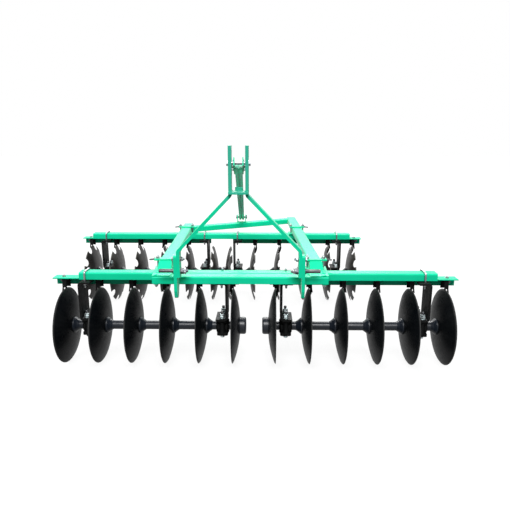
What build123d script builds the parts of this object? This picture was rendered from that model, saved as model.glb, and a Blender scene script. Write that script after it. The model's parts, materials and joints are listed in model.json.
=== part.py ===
"""Three-point mounted tandem disc harrow: four gangs of six discs on a bolted channel frame.

Row frame, millimetres: +X to the machine's left as seen from the tractor seat's far side
(to the right when looking from the tractor at the machine), +Y to the rear, +Z up.
The origin lies on the ground under the middle of the machine's box.
Each gang is a spinning body: discs, spools and a square through-bolt.
"""
from build123d import *
import math
import os

os.makedirs("parts", exist_ok=True)

# ---------------------------------------------------------------- discs and gangs
disc_dia = 460.0            # 18 inch discs
disc_thickness = 4.0
disc_dish = 44.0            # rim plane to the back of the hub
disc_flat_dia = 104.0       # flat centre that the spools clamp
disc_bevel = 9.0            # width of the ground edge
disc_spacing = 203.5
discs_per_gang = 6
notch_count = 10
notch_width = 62.0
notch_depth = 42.0

front_first_rim = 131.0     # row centre to the rim of the innermost disc
rear_first_rim = 76.0
row_distance = 1210.0       # front axle line to rear axle line
front_axle_y = -760.0
front_row_x = 126.0         # the front row stands to one side of the rear row
rear_row_x = -171.0

axle_square = 25.0
axle_clearance = 0.5        # square bar in the discs' square holes, each side
axle_nut_flats = 41.0
axle_nut_height = 16.0
axle_stub = 3.0             # thread past each nut
spool_tube_dia = 53.0
spool_bell_dia = 98.0       # bell that backs the next disc's convex face
spool_bell_length = 30.0
spool_foot_dia = 84.0       # foot against the concave face
spool_foot_length = 14.0
spool_lip = 7.0             # straight rim of bell and foot
bumper_dia = 104.0
front_bumper_length = 38.0
rear_bumper_length = 28.0
bumper_round = 12.0
bumper_web = 8.0            # under the recessed nut
bumper_recess_dia = 58.0

# ---------------------------------------------------------------- bearings and hangers
journal_dia = 44.0
journal_clearance = 0.05
bearing_width = 76.0
bearing_side_gap = 1.5      # housing face to spool shoulder
housing_dia = 92.0
lug_rise = 55.0             # upper lug's top face above the axle
lug_drop = 42.0             # lower lug's underside below the axle
lug_width = 132.0           # fore and aft
lug_length = 66.0           # along the axle
lug_thickness = 15.0
lug_bolt_spacing = 104.0
lug_bolt_dia = 14.0

hanger_thickness = 12.0
hanger_offset = 28.0        # plate's middle to the bearing's middle
hanger_reach = 38.0         # feet beyond the bearing's middle
hanger_front = 80.0         # plate's front edge ahead of the axle line
hanger_bend = 14.0

# ---------------------------------------------------------------- gang beams and scrapers
angle_flange = 70.0
angle_drop = 56.0
angle_thickness = 6.0
angle_front = 6.0           # front edge ahead of the axle line
angle_top_z = 529.0
front_angle_inner = 95.0    # from the row centre
rear_angle_inner = 92.0
angle_overhang = 66.0       # beyond the outermost rim
end_hole_inset = 36.0       # hole in the upright flange, from the beam's outer end
end_hole_dia = 18.0

scraper_thickness = 6.0
scraper_width = 34.0        # across the machine, centred on the disc's rim plane
scraper_foot = 46.0         # under the gang beam's top flange
scraper_bend = 8.0
scraper_rim_gap = 8.0       # blade to the rim plane, and to the dished face
scraper_rim_rise = 7.0      # arm's wide part above the rim
scraper_reach = 66.0        # blade's tip below the rim
scraper_tip_width = 16.0
front_first_scraper = 0     # disc, counted outwards, that has the innermost scraper
rear_first_scraper = 1

# ---------------------------------------------------------------- channel frame
channel_width = 80.0
channel_height = 43.0
channel_thickness = 5.0
channel_corner = 10.0
front_carrier_ends = (-1041.0, 1078.0)   # from the front row's centre
rear_carrier_ends = (-1062.0, 1059.0)    # from the rear row's centre
hitch_x = 47.0              # three-point hitch's middle
hitch_beam_length = 1018.0
seat_plate_thickness = 6.0
seat_plate_edge = 5.0       # front plates, behind the hitch beam's front face
seat_plate_tail = 70.0      # front plates, behind the front carrier
seat_plate_rim = 18.0       # plate outside the clamp bolts
rear_seat_margin = 10.0     # rear plates, beyond the rear carrier on both sides
side_beam_inset = 52.0      # side beam's middle in from the hitch beam's end
side_beam_skew = 2.2        # degrees that the side beams turn to the left on their way back
side_beam_front = 20.0      # front ends, from the front axle line
side_beam_nose = 42.0       # run of the slanted front end
side_beam_left_end = 1400.0
side_beam_right_end = 1750.0
tie_left_y = 1275.0         # tie bar's middle line at the left side beam
tie_right_y = 1655.0
front_clamp_length = 136.0
rear_clamp_length = 120.0
clamp_plate_width = 50.0
clamp_plate_thickness = 10.0
clamp_bolt_offset = 49.0    # from the side beam's middle
clamp_bolt_dia = 12.0
clamp_nose_gap = 2.0        # front clamp plates behind the slanted front ends

# ---------------------------------------------------------------- U-bolts
u_rod_dia = 12.0
u_bolt_gap = 0.3            # rod to the beam that it hugs
u_bolt_bend = 14.0
u_bolt_tail = 28.0          # below the hanger's foot
bolt_hole_clearance = 0.5   # on the radius, U-bolts and clamp bolts

# ---------------------------------------------------------------- three-point hitch
mast_bar = 18.0             # thickness of the mast's flat bars
mast_depth = 60.0
mast_half_gap = 37.0        # middle to the uprights' inner faces
mast_top_z = 1311.0
mast_knee_drop = 264.0      # below the mast's top
mast_ankle_z = 738.0
mast_foot_z = 588.0
mast_bend = 20.0
mast_back_gap = 20.0        # bars to the hitch beam's front face
hitch_plate_thickness = 18.0
hitch_plate_inset = 151.0   # plate's middle in from the hitch beam's end
hitch_plate_top_z = 714.0
hitch_plate_tip_z = 464.0
hitch_tip_depth = 34.0
hitch_pin_z = 621.0
hitch_pin_dia = 22.0
hitch_pin_length = 88.0     # free end beyond the collar's plate
hitch_collar_dia = 34.0
hitch_collar_length = 7.0
hitch_nut_flats = 32.0
hitch_nut_height = 16.0
linch_hole_dia = 9.0
linch_hole_inset = 14.0
pin_clearance = 0.25
top_link_bore_dia = 20.0
top_link_drop = 33.0        # hole's middle below the mast's top
brace_plate_rise = 10.0     # plate's underside above the knee
brace_plate_thickness = 12.0
brace_plate_depth = 100.0
brace_plate_bow = 16.0      # front edge's middle ahead of its ends
brace_tab_width = 44.0
brace_tab_height = 18.0
stay_pin_drop = 92.0        # below the mast's top
stay_pin_dia = 20.0
stay_pin_head = 10.0
stay_pin_flats = 30.0

# ---------------------------------------------------------------- stay
stay_bar = 18.0
stay_depth = 45.0
stay_gap = 6.0              # between the two bars
stay_end_setback = 42.0     # bars' upper ends behind the upper pin
clevis_thickness = 6.0
clevis_flare = 5.0          # ears spread beyond the bars at the pin
clevis_horn = 32.0          # ears rise past the pin
clevis_length = 150.0
bracket_thickness = 6.0
bracket_side_gap = 11.0     # ear to stay bar
bracket_length = 50.0
bracket_pin_height = 46.0   # above the tie bar
bracket_pin_dia = 16.0
bracket_pin_flats = 24.0
bracket_ear_radius = 20.0

# ---------------------------------------------------------------- derived places
axle_z = disc_dia / 2
rear_axle_y = front_axle_y + row_distance
carrier_top_z = angle_top_z + channel_height
seat_top_z = carrier_top_z + seat_plate_thickness
side_beam_top_z = seat_top_z + channel_height
side_beam_offset = hitch_beam_length / 2 - side_beam_inset
hitch_plate_offset = hitch_beam_length / 2 - hitch_plate_inset
hitch_beam_y = front_axle_y - channel_width
hitch_beam_front_y = hitch_beam_y - channel_width / 2
mast_y = hitch_beam_front_y - mast_back_gap - mast_depth / 2
upright_x = mast_half_gap + mast_bar / 2
top_link_z = mast_top_z - top_link_drop
stay_pin_z = mast_top_z - stay_pin_drop
mast_knee_z = mast_top_z - mast_knee_drop
brace_plate_z = mast_knee_z + brace_plate_rise
leg_foot_x = hitch_plate_offset - hitch_plate_thickness / 2 - mast_bar / 2
lug_top_z = axle_z + lug_rise
hanger_back = angle_flange - angle_front - angle_thickness
angle_under_z = angle_top_z - angle_thickness
first_bearing = (disc_spacing + disc_thickness) / 2
bearing_slots = (0, discs_per_gang - 2)
outer_bearing = first_bearing + bearing_slots[1] * disc_spacing
spool_length = disc_spacing - disc_thickness
inner_end_x = -bumper_web
outer_end_x = (discs_per_gang - 1) * disc_spacing + disc_thickness + spool_foot_length

# Rows: centre x, axle y, innermost rim
rows = {
    "front": (front_row_x, front_axle_y, front_first_rim),
    "rear": (rear_row_x, rear_axle_y, rear_first_rim),
}
angle_inner_ends = {"front": front_angle_inner, "rear": rear_angle_inner}
bumper_lengths = {"front": front_bumper_length, "rear": rear_bumper_length}
first_scrapers = {"front": front_first_scraper, "rear": rear_first_scraper}
carrier_ends = {"front": front_carrier_ends, "rear": rear_carrier_ends}
# Gangs: name, row, side (+1 towards +X)
gangs = [
    ("front_left", "front", -1),
    ("front_right", "front", 1),
    ("rear_left", "rear", -1),
    ("rear_right", "rear", 1),
]


def save(part, name):
    """Label a finished piece and write it as one node."""
    part.label = name
    export_step(part, f"parts/{name}.step")


def handed(part, side):
    """The right-hand piece itself, or its mirror image for the left-hand gang."""
    return part if side > 0 else mirror(part, about=Plane.YZ, mode=Mode.PRIVATE)


def bent_strip(plane, points, thickness, width, bend):
    """Flat bar bent along points in the plane, as wide as width across it."""
    with BuildPart() as strip:
        with BuildSketch(plane):
            with BuildLine():
                FilletPolyline(*points, radius=bend)
            trace(line_width=thickness)
        extrude(amount=width / 2, both=True)
    return strip.part


def channel(length):
    """Formed channel along X with its web up: middle at the origin, top face at z = 0."""
    half = (channel_width - channel_thickness) / 2
    web = -channel_thickness / 2
    section = [(-half, -channel_height), (-half, web), (half, web), (half, -channel_height)]
    return bent_strip(Plane.YZ, section, channel_thickness, length, channel_corner - channel_thickness / 2)


# ---------------------------------------------------------------- gang pieces, right-hand
# Gang frame: x = 0 at the back of the innermost disc's hub, +x outwards, axle on the X axis.
def dished_disc(notched):
    """Spherical disc with a flat centre, a square hole and a ground edge."""
    rim, flat = disc_dia / 2, disc_flat_dia / 2
    dish = disc_dish - disc_thickness
    sag = dish * 0.25 * (1 - flat / rim)
    middle = (rim + flat) / 2
    bevel_x = disc_dish - disc_thickness * 0.3
    bevel_start = (dish - disc_dish * 0.09, rim - disc_bevel)
    with BuildPart() as disc:
        with BuildSketch(Plane.XZ):
            with BuildLine():
                Polyline((disc_thickness, 0), (0, 0), (0, flat))
                ThreePointArc((0, flat), (dish / 2 - sag, middle), bevel_start)
                Polyline(bevel_start, (bevel_x, rim), (disc_dish, rim))
                ThreePointArc(
                    (disc_dish, rim), (dish / 2 - sag + disc_thickness, middle), (disc_thickness, flat)
                )
                Line((disc_thickness, flat), (disc_thickness, 0))
            make_face()
        revolve(axis=Axis.X)
        with BuildSketch(Plane.YZ):
            Rectangle(axle_square + 2 * axle_clearance, axle_square + 2 * axle_clearance)
        extrude(amount=disc_dish, mode=Mode.SUBTRACT)
        if notched:
            with BuildSketch(Plane.YZ):
                with PolarLocations(rim, notch_count, start_angle=180 / notch_count - 90):
                    SlotOverall(2 * notch_depth, notch_width)
            extrude(amount=2 * disc_dish, mode=Mode.SUBTRACT)
    return disc.part


def turned(points):
    """Piece turned about the axle from (x, radius) points, with a clear hole for the square bar."""
    with BuildPart() as piece:
        with BuildSketch(Plane.XZ):
            with BuildLine():
                Polyline(*points, close=True)
            make_face()
        revolve(axis=Axis.X)
    return piece.part


bar_hole = axle_square / math.sqrt(2) + axle_clearance


def spool_points(start, journal):
    """Outline of the spool that starts at x = start; a journal waist runs in a bearing."""
    end = start + spool_length
    tube, foot, bell = spool_tube_dia / 2, spool_foot_dia / 2, spool_bell_dia / 2
    points = [
        (start, bar_hole),
        (start, foot),
        (start + spool_lip, foot),
        (start + spool_foot_length + spool_lip, tube),
    ]
    if journal:
        middle = (start + end) / 2
        half = bearing_width / 2 + bearing_side_gap
        neck = journal_dia / 2
        points += [
            (middle - half, tube),
            (middle - half, neck),
            (middle + half, neck),
            (middle + half, tube),
        ]
    points += [
        (end - spool_bell_length - spool_lip, tube),
        (end - spool_bell_length * 0.5 - spool_lip, tube + (bell - tube) * 0.42),
        (end - spool_lip, bell),
        (end, bell),
        (end, bar_hole),
    ]
    return points


def bumper(length):
    """Rounded end cup against the innermost disc's convex side, the nut sunk in its recess."""
    with BuildPart() as cup:
        with BuildSketch(Plane.YZ):
            Circle(bumper_dia / 2)
        extrude(amount=-length)
        fillet(cup.edges().filter_by(GeomType.CIRCLE).sort_by(Axis.X)[0], bumper_round)
        with BuildSketch(Plane.YZ):
            Circle(bar_hole)
        extrude(amount=-length, mode=Mode.SUBTRACT)
        with BuildSketch(Plane.YZ.offset(-length)):
            Circle(bumper_recess_dia / 2)
        extrude(amount=length - bumper_web, mode=Mode.SUBTRACT)
    return cup.part


def axle():
    """Square through-bolt with a hexagon head outside and a nut at the inner end."""
    with BuildPart() as bar:
        with BuildSketch(Plane.YZ.offset(inner_end_x)):
            Rectangle(axle_square, axle_square)
        extrude(amount=outer_end_x - inner_end_x)
        for x, direction in ((inner_end_x, -1), (outer_end_x, 1)):
            with BuildSketch(Plane.YZ.offset(x)):
                RegularPolygon(axle_nut_flats / 2, 6, major_radius=False)
            extrude(amount=direction * axle_nut_height)
            with BuildSketch(Plane.YZ.offset(x + direction * axle_nut_height)):
                Circle(axle_square / 2)
            extrude(amount=direction * axle_stub)
    return bar.part


def bearing():
    """Cast housing round the journal, with lug plates above and below; centred on the axle."""
    with BuildPart() as housing:
        with BuildSketch(Plane.YZ):
            Circle(housing_dia / 2)
        extrude(amount=bearing_width / 2, both=True)
        chamfer(housing.edges().filter_by(GeomType.CIRCLE), lug_thickness / 2)
        for underside in (-lug_drop, lug_rise - lug_thickness):
            with BuildSketch(Plane.XY.offset(underside)):
                RectangleRounded(lug_length, lug_width, lug_thickness)
                with GridLocations(0, lug_bolt_spacing, 1, 2):
                    Circle(lug_bolt_dia / 2, mode=Mode.SUBTRACT)
            extrude(amount=lug_thickness)
        with BuildSketch(Plane.YZ):
            with Locations((0, (lug_rise - lug_drop) / 2)):
                Rectangle(housing_dia * 0.7, lug_rise + lug_drop - lug_thickness)
        extrude(amount=lug_length * 0.42, both=True)
        with BuildSketch(Plane.YZ):
            Circle(journal_dia / 2 + journal_clearance)
        extrude(amount=bearing_width, both=True, mode=Mode.SUBTRACT)
    return housing.part


def hanger():
    """Bent plate from the gang beam down to the bearing; x = 0 at the bearing, plate at +x."""
    half = hanger_thickness / 2
    points = [
        (-hanger_reach, angle_under_z - half),
        (hanger_offset, angle_under_z - half),
        (hanger_offset, lug_top_z + half),
        (-hanger_reach, lug_top_z + half),
    ]
    middle_plane = Plane.XZ.offset((hanger_front - hanger_back) / 2)
    bent = bent_strip(middle_plane, points, hanger_thickness, hanger_front + hanger_back, hanger_bend)
    with BuildPart() as plate:
        add(bent)
        with BuildSketch(Plane.XY.offset(lug_top_z)):
            with GridLocations(0, lug_bolt_spacing, 1, 2):
                Circle(lug_bolt_dia / 2)
        extrude(amount=hanger_thickness, mode=Mode.SUBTRACT)
        with BuildSketch(Plane.XY.offset(angle_under_z)):
            with GridLocations(0, u_bolt_span, 1, 2):
                Circle(u_rod_dia / 2 + bolt_hole_clearance)
        extrude(amount=-hanger_thickness, mode=Mode.SUBTRACT)
    return plate.part


def scraper():
    """Scraper blade on the flange's front face, its foot bent forward; x = 0 at the rim plane."""
    half = scraper_thickness / 2
    rim, flat = disc_dia / 2, disc_flat_dia / 2
    arm_y = hanger_back - half
    rim_z = axle_z + math.sqrt(rim ** 2 - arm_y ** 2)
    step_z = rim_z + scraper_rim_rise
    tip_z = rim_z - scraper_reach
    tip_radius_2 = arm_y ** 2 + (tip_z - axle_z) ** 2
    face_x = (disc_dish - disc_thickness) * ((tip_radius_2 - flat ** 2) / (rim ** 2 - flat ** 2) - 1)
    tip_x = face_x + scraper_rim_gap
    side = scraper_width / 2
    points = [(arm_y - scraper_foot, angle_under_z - half), (arm_y, angle_under_z - half), (arm_y, tip_z)]
    with BuildPart() as arm:
        add(bent_strip(Plane.YZ, points, scraper_thickness, 2 * scraper_width, scraper_bend))
        with BuildSketch(Plane.XZ):
            Polygon(
                (-side, angle_under_z),
                (side, angle_under_z),
                (side, (rim_z + tip_z) / 2),
                (tip_x + scraper_tip_width, tip_z),
                (tip_x, tip_z),
                (scraper_rim_gap, rim_z),
                (scraper_rim_gap, step_z),
                (-side, step_z),
                align=None,
            )
        extrude(amount=2 * hanger_back, both=True, mode=Mode.INTERSECT)
    return arm.part


def u_bolt():
    """U-bolt over a carrier beam, its legs down through the gang beam and the hanger's foot."""
    half, top = u_bolt_span / 2, carrier_top_z + u_bolt_gap + u_rod_dia / 2
    bottom = angle_under_z - hanger_thickness - u_bolt_tail
    with BuildPart() as rod:
        with BuildLine(Plane.YZ) as path:
            FilletPolyline((-half, bottom), (-half, top), (half, top), (half, bottom), radius=u_bolt_bend)
        with BuildSketch(Plane.XY.offset(bottom)):
            with Locations((0, -half)):
                Circle(u_rod_dia / 2)
        sweep(path=path.wires()[0])
    return rod.part


u_bolt_span = channel_width + u_rod_dia + 2 * u_bolt_gap

plain_disc = dished_disc(False)
notched_disc = dished_disc(True)
end_washer = turned([
    (0, bar_hole),
    (0, spool_foot_dia / 2),
    (spool_lip, spool_foot_dia / 2),
    (spool_foot_length, spool_tube_dia / 2),
    (spool_foot_length, bar_hole),
])
axle_bar = axle()
bearing_housing = bearing()
hanger_plate = hanger()
scraper_arm = scraper()
clamp_rod = u_bolt()

# ---------------------------------------------------------------- gangs
for name, row, side in gangs:
    row_x, axle_y, first_rim = rows[row]
    angle_inner = angle_inner_ends[row]
    hub = first_rim - disc_dish
    place = Location((row_x, axle_y, axle_z))
    disc_shape = notched_disc if row == "rear" else plain_disc

    with BuildPart() as discs:
        with Locations(*[(hub + k * disc_spacing, 0, 0) for k in range(discs_per_gang)]):
            add(disc_shape)
    save(place * handed(discs.part, side), f"discs_{name}")

    with BuildPart() as spools:
        with Locations((hub, 0, 0)):
            add(bumper(bumper_lengths[row]))
        for k in range(discs_per_gang - 1):
            start = hub + k * disc_spacing + disc_thickness
            add(turned(spool_points(start, k in bearing_slots)))
        with Locations((hub + outer_end_x - spool_foot_length, 0, 0)):
            add(end_washer)
    save(place * handed(spools.part, side), f"spools_{name}")

    with BuildPart() as through_bolt:
        with Locations((hub, 0, 0)):
            add(axle_bar)
    save(place * handed(through_bolt.part, side), f"axle_{name}")

    bearing_places = [(hub + first_bearing, -1), (hub + outer_bearing, 1)]
    angle_outer = first_rim + (discs_per_gang - 1) * disc_spacing + angle_overhang
    back = angle_flange - angle_front
    with BuildPart() as gang_beam:
        with BuildSketch(Plane.YZ.offset(angle_inner)):
            with BuildLine():
                Polyline(
                    (-angle_front, angle_top_z),
                    (back, angle_top_z),
                    (back, angle_top_z - angle_drop),
                    (back - angle_thickness, angle_top_z - angle_drop),
                    (back - angle_thickness, angle_under_z),
                    (-angle_front, angle_under_z),
                    close=True,
                )
            make_face()
        extrude(amount=angle_outer - angle_inner)
        with BuildSketch(Plane.XY.offset(angle_top_z)):
            for x, _ in bearing_places:
                with Locations((x, u_bolt_span / 2)):
                    Circle(u_rod_dia / 2 + bolt_hole_clearance)
        extrude(amount=-angle_thickness, mode=Mode.SUBTRACT)
        with BuildSketch(Plane.XZ.offset(-back)):
            with Locations((angle_outer - end_hole_inset, angle_top_z - (angle_drop + angle_thickness) / 2)):
                Circle(end_hole_dia / 2)
        extrude(amount=angle_thickness, mode=Mode.SUBTRACT)
    save(Location((row_x, axle_y, 0)) * handed(gang_beam.part, side), f"gang_beam_{name}")

# ---------------------------------------------------------------- pieces that hang from the rows
for row, (row_x, axle_y, first_rim) in rows.items():
    hub = first_rim - disc_dish
    stations = [(hub + first_bearing, -1), (hub + outer_bearing, 1)]
    ground = Location((row_x, axle_y, 0))

    with BuildPart() as hangers:
        for side in (-1, 1):
            for x, outward in stations:
                add(ground * Location((side * x, 0, 0)) * handed(hanger_plate, side * outward))
    save(hangers.part, f"{row}_hangers")

    with BuildPart() as bearings:
        with Locations(*[(row_x + side * x, axle_y, axle_z) for side in (-1, 1) for x, _ in stations]):
            add(bearing_housing)
    save(bearings.part, f"{row}_bearings")

    with BuildPart() as scrapers:
        for side in (-1, 1):
            for k in range(first_scrapers[row], discs_per_gang):
                x = side * (first_rim + k * disc_spacing)
                add(ground * Location((x, 0, 0)) * handed(scraper_arm, side))
    save(scrapers.part, f"{row}_scrapers")

    left, right = carrier_ends[row]
    with BuildPart() as carrier:
        with Locations((row_x + (left + right) / 2, axle_y, carrier_top_z)):
            add(channel(right - left))
    save(carrier.part, f"{row}_carrier")

# U-bolts: row, which bearing stations they hold
u_bolt_places = [("front", [1]), ("rear", [0, 1])]
with BuildPart() as u_bolts:
    for row, picks in u_bolt_places:
        row_x, axle_y, first_rim = rows[row]
        hub = first_rim - disc_dish
        for pick in picks:
            x = hub + (first_bearing, outer_bearing)[pick]
            with Locations((row_x - x, axle_y, 0), (row_x + x, axle_y, 0)):
                add(clamp_rod)
save(u_bolts.part, "u_bolts")

# ---------------------------------------------------------------- upper frame
with BuildPart() as hitch_beam:
    with Locations((hitch_x, hitch_beam_y, carrier_top_z)):
        add(channel(hitch_beam_length))
save(hitch_beam.part, "hitch_beam")



def side_place(side, y, z):
    """Place on a side beam's middle line, turned as the beam is; side -1 is the left one."""
    middle_x = hitch_x - math.tan(math.radians(side_beam_skew)) * (y - hitch_beam_y)
    return Location((middle_x + side * side_beam_offset, y, z), (0, 0, side_beam_skew))


def bolted_plate(outline, thickness):
    """Flat plate on z = 0 with the two clamp bolts' holes, beside the side beam's middle."""
    with BuildPart() as plate:
        with BuildSketch():
            Polygon(*outline, align=None)
            with GridLocations(2 * clamp_bolt_offset, 0, 2, 1):
                Circle(clamp_bolt_dia / 2 + bolt_hole_clearance, mode=Mode.SUBTRACT)
        extrude(amount=thickness)
    return plate.part


side_front_y = front_axle_y + side_beam_front
front_clamp_y = side_front_y + side_beam_nose + clamp_nose_gap + clamp_plate_width / 2
clamp_half = clamp_bolt_offset + seat_plate_rim
seat_front = hitch_beam_front_y + seat_plate_edge - front_clamp_y
seat_back = front_axle_y + channel_width / 2 + seat_plate_tail - front_clamp_y
rear_seat_half = channel_width / 2 + rear_seat_margin
# Clamps: y, seat plate's front half width, back half width, front, back, clamp plate's length
clamps = [
    (front_clamp_y, side_beam_inset, clamp_half, seat_front, seat_back, front_clamp_length),
    (rear_axle_y, clamp_half, clamp_half, -rear_seat_half, rear_seat_half, rear_clamp_length),
]
with BuildPart() as seat_plates:
    for y, front_half, back_half, front, back, _ in clamps:
        outline = [(-front_half, front), (front_half, front), (back_half, back), (-back_half, back)]
        for side in (-1, 1):
            add(side_place(side, y, carrier_top_z) * bolted_plate(outline, seat_plate_thickness))
save(seat_plates.part, "seat_plates")

# Side beams: name, side, rear end from the front axle line
side_beams = [("left", -1, side_beam_left_end), ("right", 1, side_beam_right_end)]
for name, side, end in side_beams:
    length = front_axle_y + end - side_front_y
    with BuildPart() as side_beam:
        with Locations((0, length / 2, 0)):
            add(Location((0, 0, 0), (0, 0, 90)) * channel(length))
        with BuildSketch(Plane.YZ):
            Polygon((0, 0), (side_beam_nose, 0), (0, -channel_height), align=None)
        extrude(amount=channel_width, both=True, mode=Mode.SUBTRACT)
        with BuildSketch(Plane.YZ):
            Polygon(
                (0, -channel_height),
                (side_beam_nose, 0),
                (side_beam_nose + channel_thickness, 0),
                (channel_thickness, -channel_height),
                align=None,
            )
        extrude(amount=channel_width / 2 - channel_thickness, both=True)
    save(side_place(side, side_front_y, side_beam_top_z) * side_beam.part, f"side_beam_{name}")

tie_half = side_beam_offset * math.cos(math.radians(side_beam_skew)) - channel_width / 2
tie_slant = math.atan2(tie_right_y - tie_left_y, 2 * tie_half)
tie_y = front_axle_y + (tie_left_y + tie_right_y) / 2
tie_place = side_place(0, tie_y, side_beam_top_z)
with BuildPart() as tie_bar:
    add(tie_place * Location((0, 0, 0), (0, 0, math.degrees(tie_slant))) * channel(3 * side_beam_offset))
    with Locations(tie_place):
        Box(2 * tie_half, 3 * side_beam_offset, 4 * channel_height, mode=Mode.INTERSECT)
save(tie_bar.part, "tie_bar")

width_half = clamp_plate_width / 2
with BuildPart() as clamp_plates:
    for y, _, _, _, _, clamp_length in clamps:
        half = clamp_length / 2
        outline = [(-half, -width_half), (half, -width_half), (half, width_half), (-half, width_half)]
        for side in (-1, 1):
            add(side_place(side, y, side_beam_top_z) * bolted_plate(outline, clamp_plate_thickness))
save(clamp_plates.part, "clamp_plates")

# ---------------------------------------------------------------- hitch
leg_points = [
    (upright_x, mast_top_z),
    (upright_x, mast_knee_z),
    (leg_foot_x, mast_ankle_z),
    (leg_foot_x, mast_foot_z),
]
for name, side in (("left", -1), ("right", 1)):
    bent = bent_strip(Plane.XZ, leg_points, mast_bar, mast_depth, mast_bend)
    # Holes across the bars: height, radius, x to cut from, x to cut to
    holes = [
        (top_link_z, top_link_bore_dia / 2, 0, 2 * upright_x),
        (stay_pin_z, stay_pin_dia / 2 + pin_clearance, 0, 2 * upright_x),
        (hitch_pin_z, hitch_pin_dia / 2 + pin_clearance, leg_foot_x - mast_bar, leg_foot_x + mast_bar),
    ]
    with BuildPart() as leg:
        add(bent)
        for z, radius, x_from, x_to in holes:
            with BuildSketch(Plane.YZ.offset(x_from)):
                with Locations((0, z)):
                    Circle(radius)
            extrude(amount=x_to - x_from, mode=Mode.SUBTRACT)
    save(Location((hitch_x, mast_y, 0)) * handed(leg.part, side), f"mast_leg_{name}")

    front = mast_y - mast_depth / 2
    back_y = hitch_beam_front_y
    with BuildPart() as hitch_plate:
        with BuildSketch(Plane.YZ.offset(hitch_plate_offset - hitch_plate_thickness / 2)) as outline:
            with BuildLine():
                Polyline(
                    (front, hitch_plate_top_z),
                    (front + mast_depth, hitch_plate_top_z),
                    (back_y, hitch_pin_z),
                    (back_y, angle_top_z),
                    (mast_y + hitch_tip_depth / 2, hitch_plate_tip_z),
                    (mast_y - hitch_tip_depth / 2, hitch_plate_tip_z),
                    (front, angle_top_z - channel_height / 2),
                    close=True,
                )
            make_face()
            fillet(outline.vertices().group_by(Axis.Y)[0], hitch_tip_depth * 0.4)
            fillet(outline.vertices().group_by(Axis.Y)[-1], mast_depth * 0.2)
            with Locations((mast_y, hitch_pin_z)):
                Circle(hitch_pin_dia / 2 + pin_clearance, mode=Mode.SUBTRACT)
        extrude(amount=hitch_plate_thickness)
    save(Location((hitch_x, 0, 0)) * handed(hitch_plate.part, side), f"hitch_plate_{name}")

plate_outer_x = hitch_plate_offset + hitch_plate_thickness / 2
leg_inner_x = leg_foot_x - mast_bar / 2
pin_tip_x = plate_outer_x + hitch_pin_length
with BuildPart() as hitch_pin:
    with BuildSketch(Plane.YZ.offset(leg_inner_x - hitch_nut_height)):
        Circle(hitch_pin_dia / 2)
    extrude(amount=pin_tip_x - leg_inner_x + hitch_nut_height)
    chamfer(hitch_pin.edges().sort_by(Axis.X)[-1], hitch_pin_dia * 0.12)
    with BuildSketch(Plane.YZ.offset(plate_outer_x)):
        Circle(hitch_collar_dia / 2)
    extrude(amount=hitch_collar_length)
    with BuildSketch(Plane.YZ.offset(leg_inner_x)):
        RegularPolygon(hitch_nut_flats / 2, 6, major_radius=False)
    extrude(amount=-hitch_nut_height)
    with Locations((pin_tip_x - linch_hole_inset, 0, 0)):
        Cylinder(linch_hole_dia / 2, 2 * hitch_pin_dia, mode=Mode.SUBTRACT)
with BuildPart() as hitch_pins:
    for side in (-1, 1):
        add(Location((hitch_x, mast_y, hitch_pin_z)) * handed(hitch_pin.part, side))
save(hitch_pins.part, "hitch_pins")

upright_outer = mast_half_gap + mast_bar
brace_half = brace_plate_depth / 2
with BuildPart() as brace_plate:
    with BuildSketch():
        with BuildLine():
            ThreePointArc(
                (-upright_outer, -brace_half),
                (0, -brace_half - brace_plate_bow),
                (upright_outer, -brace_half),
            )
            Polyline(
                (upright_outer, -brace_half),
                (upright_outer, brace_half),
                (-upright_outer, brace_half),
                (-upright_outer, -brace_half),
            )
        make_face()
        with GridLocations(2 * upright_x, 0, 2, 1):
            Rectangle(mast_bar, mast_depth, mode=Mode.SUBTRACT)
    extrude(amount=brace_plate_thickness)
    with Locations((0, brace_half, 0)):
        Box(
            brace_tab_width,
            brace_plate_thickness,
            brace_plate_thickness + brace_tab_height,
            align=(Align.CENTER, Align.MAX, Align.MIN),
        )
save(Location((hitch_x, mast_y, brace_plate_z)) * brace_plate.part, "mast_brace_plate")


def cross_pin(half_length, radius, head, flats):
    """Pin along X with a hexagon head at each end, outside half_length."""
    with BuildPart() as pin:
        with BuildSketch(Plane.YZ.offset(-half_length)):
            Circle(radius)
        extrude(amount=2 * half_length)
        for end in (-1, 1):
            with BuildSketch(Plane.YZ.offset(end * half_length)):
                RegularPolygon(flats / 2, 6, major_radius=False)
            extrude(amount=end * head)
    return pin.part


stay_foot = side_place(0, tie_y, side_beam_top_z + bracket_pin_height).position
stay_run = Vector(stay_foot.X - hitch_x, stay_foot.Y - mast_y, stay_foot.Z - stay_pin_z)
stay_length = stay_run.length
stay_turn = math.degrees(math.atan2(-stay_run.X, stay_run.Y))
stay_fall = math.degrees(math.asin(-stay_run.Z / stay_length))
stay_head = Location((hitch_x, mast_y, stay_pin_z))
# Stay frame: +Y down along the stay from the upper pin
stay_frame = stay_head * Location((0, 0, 0), (0, 0, stay_turn)) * Location((0, 0, 0), (-stay_fall, 0, 0))
stay_outer = stay_gap / 2 + stay_bar

upper_pin = cross_pin(upright_outer, stay_pin_dia / 2, stay_pin_head, stay_pin_flats)
save(stay_head * upper_pin, "stay_upper_pin")

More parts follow.
